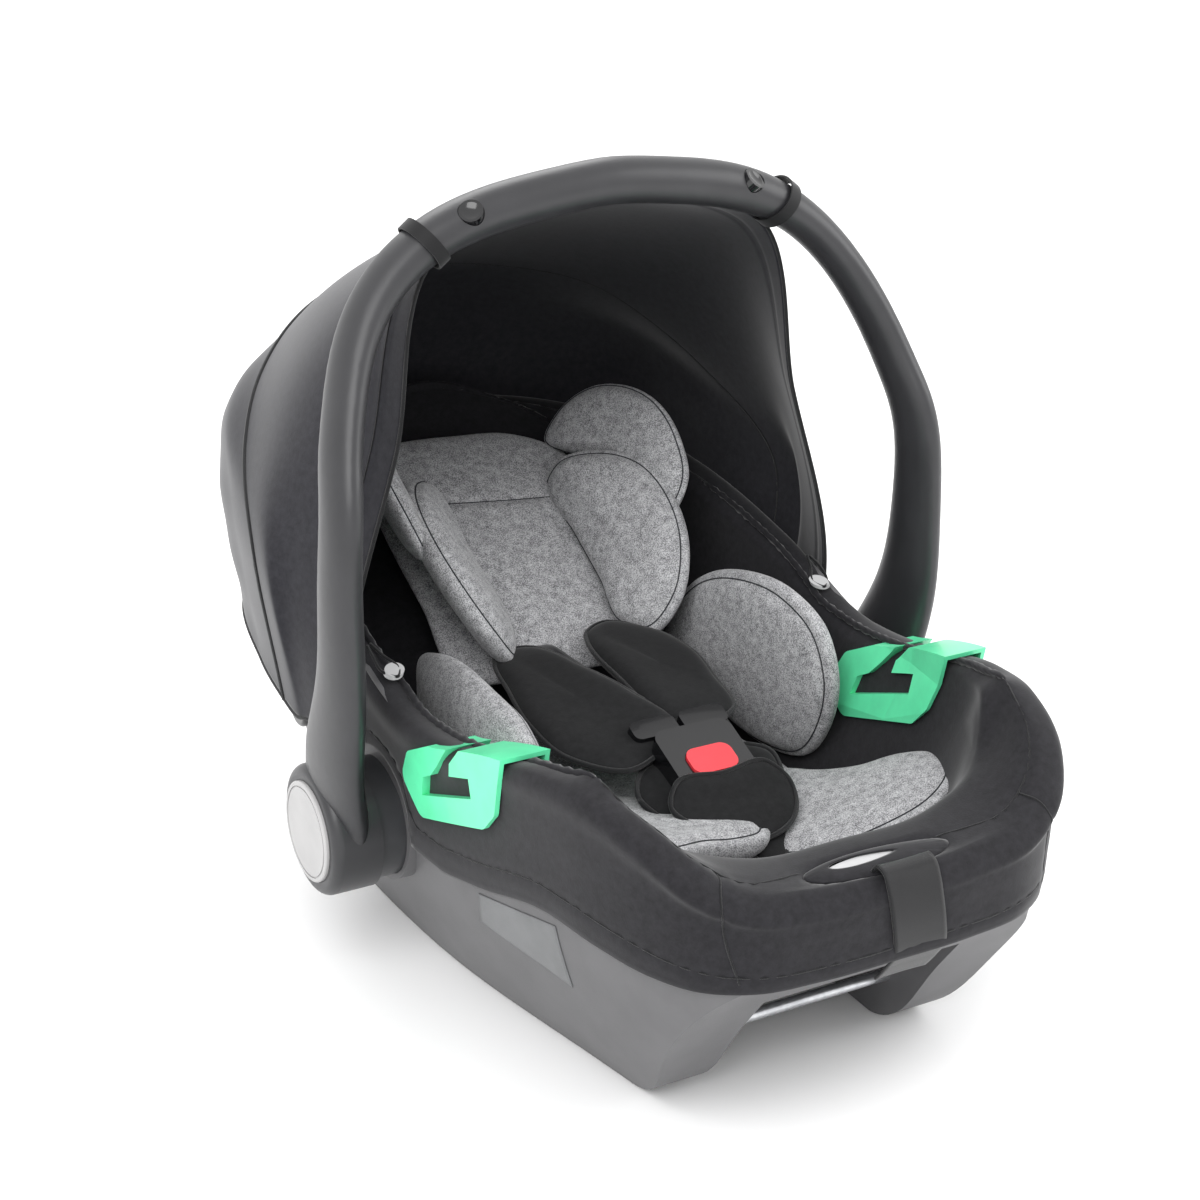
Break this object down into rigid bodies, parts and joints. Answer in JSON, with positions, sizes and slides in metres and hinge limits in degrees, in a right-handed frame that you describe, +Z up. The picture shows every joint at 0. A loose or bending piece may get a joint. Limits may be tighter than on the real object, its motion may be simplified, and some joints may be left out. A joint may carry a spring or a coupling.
{
  "type": "infant car seat",
  "caption": "Rear-facing infant car seat with rocker base, swinging carry handle on splined hubs, fabric canopy, padded inserts and buckled harness.",
  "frame": {"origin": "on the floor between the runners, midway between the foot and head ends", "axes": "+X to the side where the seat occupant has the right-hand belt guide, -Y towards the foot end, +Y towards the head end, +Z up"},
  "size_m": [0.468, 0.6968, 0.5369],
  "materials": {
    "shell_plastic": "fine grained",
    "foam": "bead foam",
    "black_fabric": "stretch knit with topstitched seams",
    "webbing": "flat woven webbing",
    "green_plastic": "semi-gloss translucent green",
    "dark_plastic": "satin",
    "light_grey_plastic": "satin",
    "white_plastic": "smooth",
    "black_gloss_plastic": "gloss",
    "red_plastic": "gloss",
    "grey_knit": "melange jersey",
    "steel": "zinc plated"
  },
  "bodies": {
    "seat": {"back_insert": "grey_knit", "belt_guide_left": "green_plastic", "belt_guide_right": "green_plastic", "buckle_body": "dark_plastic", "canopy": "black_fabric", "cover_lining": "black_fabric", "cover_skirt": "black_fabric", "cover_stud_left": "white_plastic", "cover_stud_right": "white_plastic", "crotch_pad": "black_fabric", "crotch_strap": "webbing", "foam_liner": "foam", "front_docking_bar": "steel", "head_wing_left": "grey_knit", "head_wing_right": "grey_knit", "hip_bolster_left": "grey_knit", "hip_bolster_right": "grey_knit", "hood_knob_left": "black_gloss_plastic", "hood_knob_right": "black_gloss_plastic", "hub_base_left": "dark_plastic", "hub_base_right": "dark_plastic", "pivot_axle_left": "steel", "pivot_axle_right": "steel", "pull_strap": "webbing", "rear_docking_bar": "steel", "seat_pad": "grey_knit", "shell": "shell_plastic", "shoulder_pad_left": "black_fabric", "shoulder_pad_right": "black_fabric", "shoulder_strap_left": "webbing", "shoulder_strap_right": "webbing", "side_wing_left": "grey_knit", "side_wing_right": "grey_knit", "tongue_left": "black_gloss_plastic", "tongue_right": "black_gloss_plastic"},
    "carry_handle": {"handle": "dark_plastic", "canopy_tie_left": "black_fabric", "canopy_tie_right": "black_fabric"},
    "hub_button_left": {"hub_button_left": "light_grey_plastic"},
    "hub_button_right": {"hub_button_right": "light_grey_plastic"},
    "lock_gear_left": {"lock_gear_left": "black_gloss_plastic"},
    "lock_gear_right": {"lock_gear_right": "black_gloss_plastic"},
    "thumb_button_left": {"thumb_button_left": "dark_plastic"},
    "thumb_button_right": {"thumb_button_right": "dark_plastic"},
    "buckle_button": {"buckle_button": "red_plastic"},
    "adjuster_button": {"adjuster_button": "white_plastic"}
  },
  "joints": [
    {"name": "handle_swing", "type": "hinge", "parent": "seat", "child": "carry_handle", "pos_m": [0, 0, 0.111], "axis": [1, 0, 0], "range_deg": [-100, 0], "deforming": ["canopy"]},
    {"name": "hub_button_press_left", "type": "slide", "parent": "carry_handle", "child": "hub_button_left", "axis": [1, 0, 0], "range_m": [0, 0.0055], "stiffness_N_per_m": 700, "springref_m": -0.004},
    {"name": "lock_gear_shift_left", "type": "slide", "parent": "seat", "child": "lock_gear_left", "axis": [1, 0, 0], "range_m": [0, 0.0055]},
    {"name": "thumb_button_press_left", "type": "slide", "parent": "carry_handle", "child": "thumb_button_left", "axis": [0.4013, 0.6221, -0.6723], "range_m": [0, 0.004], "stiffness_N_per_m": 500, "springref_m": -0.003},
    {"name": "hub_button_press_right", "type": "slide", "parent": "carry_handle", "child": "hub_button_right", "axis": [-1, 0, 0], "range_m": [0, 0.0055], "stiffness_N_per_m": 700, "springref_m": -0.004},
    {"name": "lock_gear_shift_right", "type": "slide", "parent": "seat", "child": "lock_gear_right", "axis": [-1, 0, 0], "range_m": [0, 0.0055]},
    {"name": "thumb_button_press_right", "type": "slide", "parent": "carry_handle", "child": "thumb_button_right", "axis": [-0.4013, 0.6221, -0.6723], "range_m": [0, 0.004], "stiffness_N_per_m": 500, "springref_m": -0.003},
    {"name": "buckle_button_press", "type": "slide", "parent": "seat", "child": "buckle_button", "axis": [0, 0.4068, -0.9135], "range_m": [0, 0.003], "stiffness_N_per_m": 1200, "springref_m": -0.003},
    {"name": "adjuster_button_press", "type": "slide", "parent": "seat", "child": "adjuster_button", "axis": [0, 0, -1], "range_m": [0, 0.003], "stiffness_N_per_m": 600, "springref_m": -0.003}
  ],
  "couplings": [
    {"joint": "lock_gear_shift_left", "follows": "hub_button_press_left", "ratio": 1},
    {"joint": "lock_gear_shift_right", "follows": "hub_button_press_right", "ratio": 1}
  ]
}
